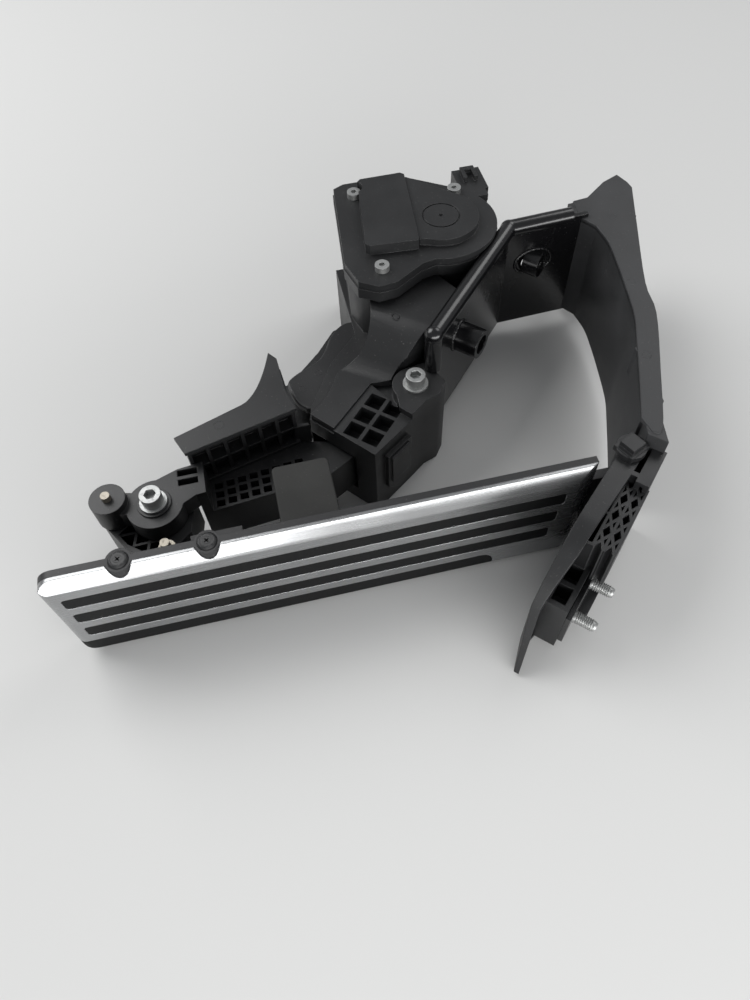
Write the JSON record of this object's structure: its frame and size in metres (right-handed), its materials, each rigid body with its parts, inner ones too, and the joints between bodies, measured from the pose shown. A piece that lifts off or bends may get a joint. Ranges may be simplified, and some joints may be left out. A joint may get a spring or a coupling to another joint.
{
  "type": "accelerator pedal",
  "caption": "Floor hinged accelerator pedal unit: ribbed pad with a bright cover, linked to a spring loaded arm and position sensor in a moulded housing.",
  "frame": {"origin": "arm's pivot axis at the flat underside of the main housing", "axes": "+X along the pad from its toe end to its heel hinge, +Y from the tread face to the sensor, +Z along the pivots, up as the unit lies"},
  "size_m": [0.341, 0.2733, 0.09],
  "materials": {
    "moulding": "fine matt grain",
    "arm_moulding": "fine matt grain, slightly lighter",
    "pad_moulding": "matt",
    "painted_steel": "gloss black paint",
    "bright_cover": "satin",
    "grip_rubber": "matt",
    "block_rubber": "matt",
    "zinc": "bright zinc plate",
    "pin_steel": "passivated",
    "spring_wire": "drawn wire",
    "bush": "sintered",
    "terminal": "plated",
    "board": "lacquered board",
    "magnet": "sintered"
  },
  "bodies": {
    "unit": {"main_housing": "moulding", "top_cover": "moulding", "sensor_cover": "moulding", "connector_terminals": "terminal", "sensor_board": "board", "cover_screws": "zinc", "pivot_bushes": "bush", "outer_return_spring": "spring_wire", "inner_return_spring": "spring_wire", "housing_bolt": "zinc", "housing_sleeve": "zinc", "steel_bracket": "painted_steel", "mount_collars": "painted_steel", "side_arm": "arm_moulding", "heel_bracket": "moulding", "stud_plate": "painted_steel", "floor_studs": "zinc", "hinge_pin": "pin_steel", "hinge_retainer": "moulding"},
    "pad": {"pad_back": "pad_moulding", "pad_cover": "bright_cover", "grip_strips": "grip_rubber", "pad_clips": "moulding", "pad_link_pin": "pin_steel", "stop_block": "block_rubber"},
    "arm": {"pedal_arm": "moulding", "arm_guard": "moulding", "pivot_shaft": "pin_steel", "rotor_magnet": "magnet", "arm_bolt": "zinc", "arm_washer": "zinc", "arm_link_pin": "pin_steel"},
    "link": {"coupling_link": "moulding"}
  },
  "joints": [
    {"name": "pad_hinge", "type": "hinge", "parent": "unit", "child": "pad", "pos_m": [0.0465, -0.1574, 0.033], "axis": [0, 0, -1], "range_deg": [0, 8], "stiffness_Nm_per_rad": 6, "springref_deg": -5.73},
    {"name": "arm_pivot", "type": "hinge", "parent": "unit", "child": "arm", "pos_m": [0, 0, 0.024], "axis": [0, 0, -1], "range_deg": [0, 4.3]},
    {"name": "link_pivot", "type": "hinge", "parent": "arm", "child": "link", "pos_m": [-0.1925, -0.1191, 0.031], "axis": [0, 0, 1], "range_deg": [0, 32.6]}
  ],
  "couplings": [
    {"joint": "arm_pivot", "follows": "pad_hinge", "ratio": 0.5282},
    {"joint": "link_pivot", "follows": "pad_hinge", "ratio": 4.0311}
  ]
}
